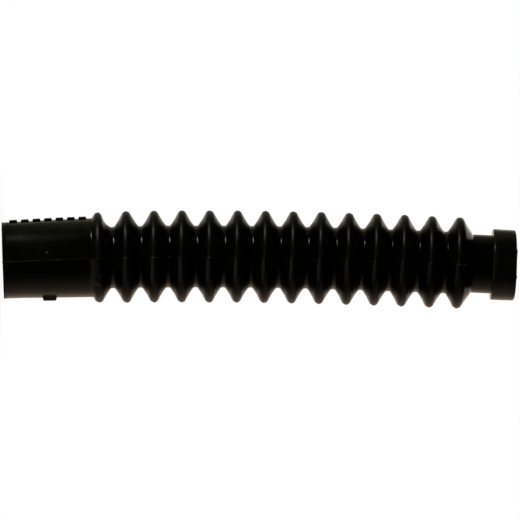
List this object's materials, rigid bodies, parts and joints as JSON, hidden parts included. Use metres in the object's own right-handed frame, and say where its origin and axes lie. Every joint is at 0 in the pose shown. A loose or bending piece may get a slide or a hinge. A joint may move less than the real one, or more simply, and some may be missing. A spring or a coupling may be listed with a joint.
{
  "type": "rubber cable boot",
  "caption": "Hollow rubber boot with a plain sleeve, bellows folds, a grooved neck and an end collar. It slips over a fitting and flexes with the cable that leaves it.",
  "frame": {"origin": "centre of the sleeve's mouth, on the plane the boot stands on", "axes": "+Z along the bore, from the sleeve's mouth to the collar; +X towards the raised block on the sleeve, away from the row of bars"},
  "size_m": [0.0182, 0.0182, 0.1018],
  "materials": {
    "rubber": "satin"
  },
  "bodies": {
    "root": {"cable_boot": "rubber"}
  },
  "joints": []
}
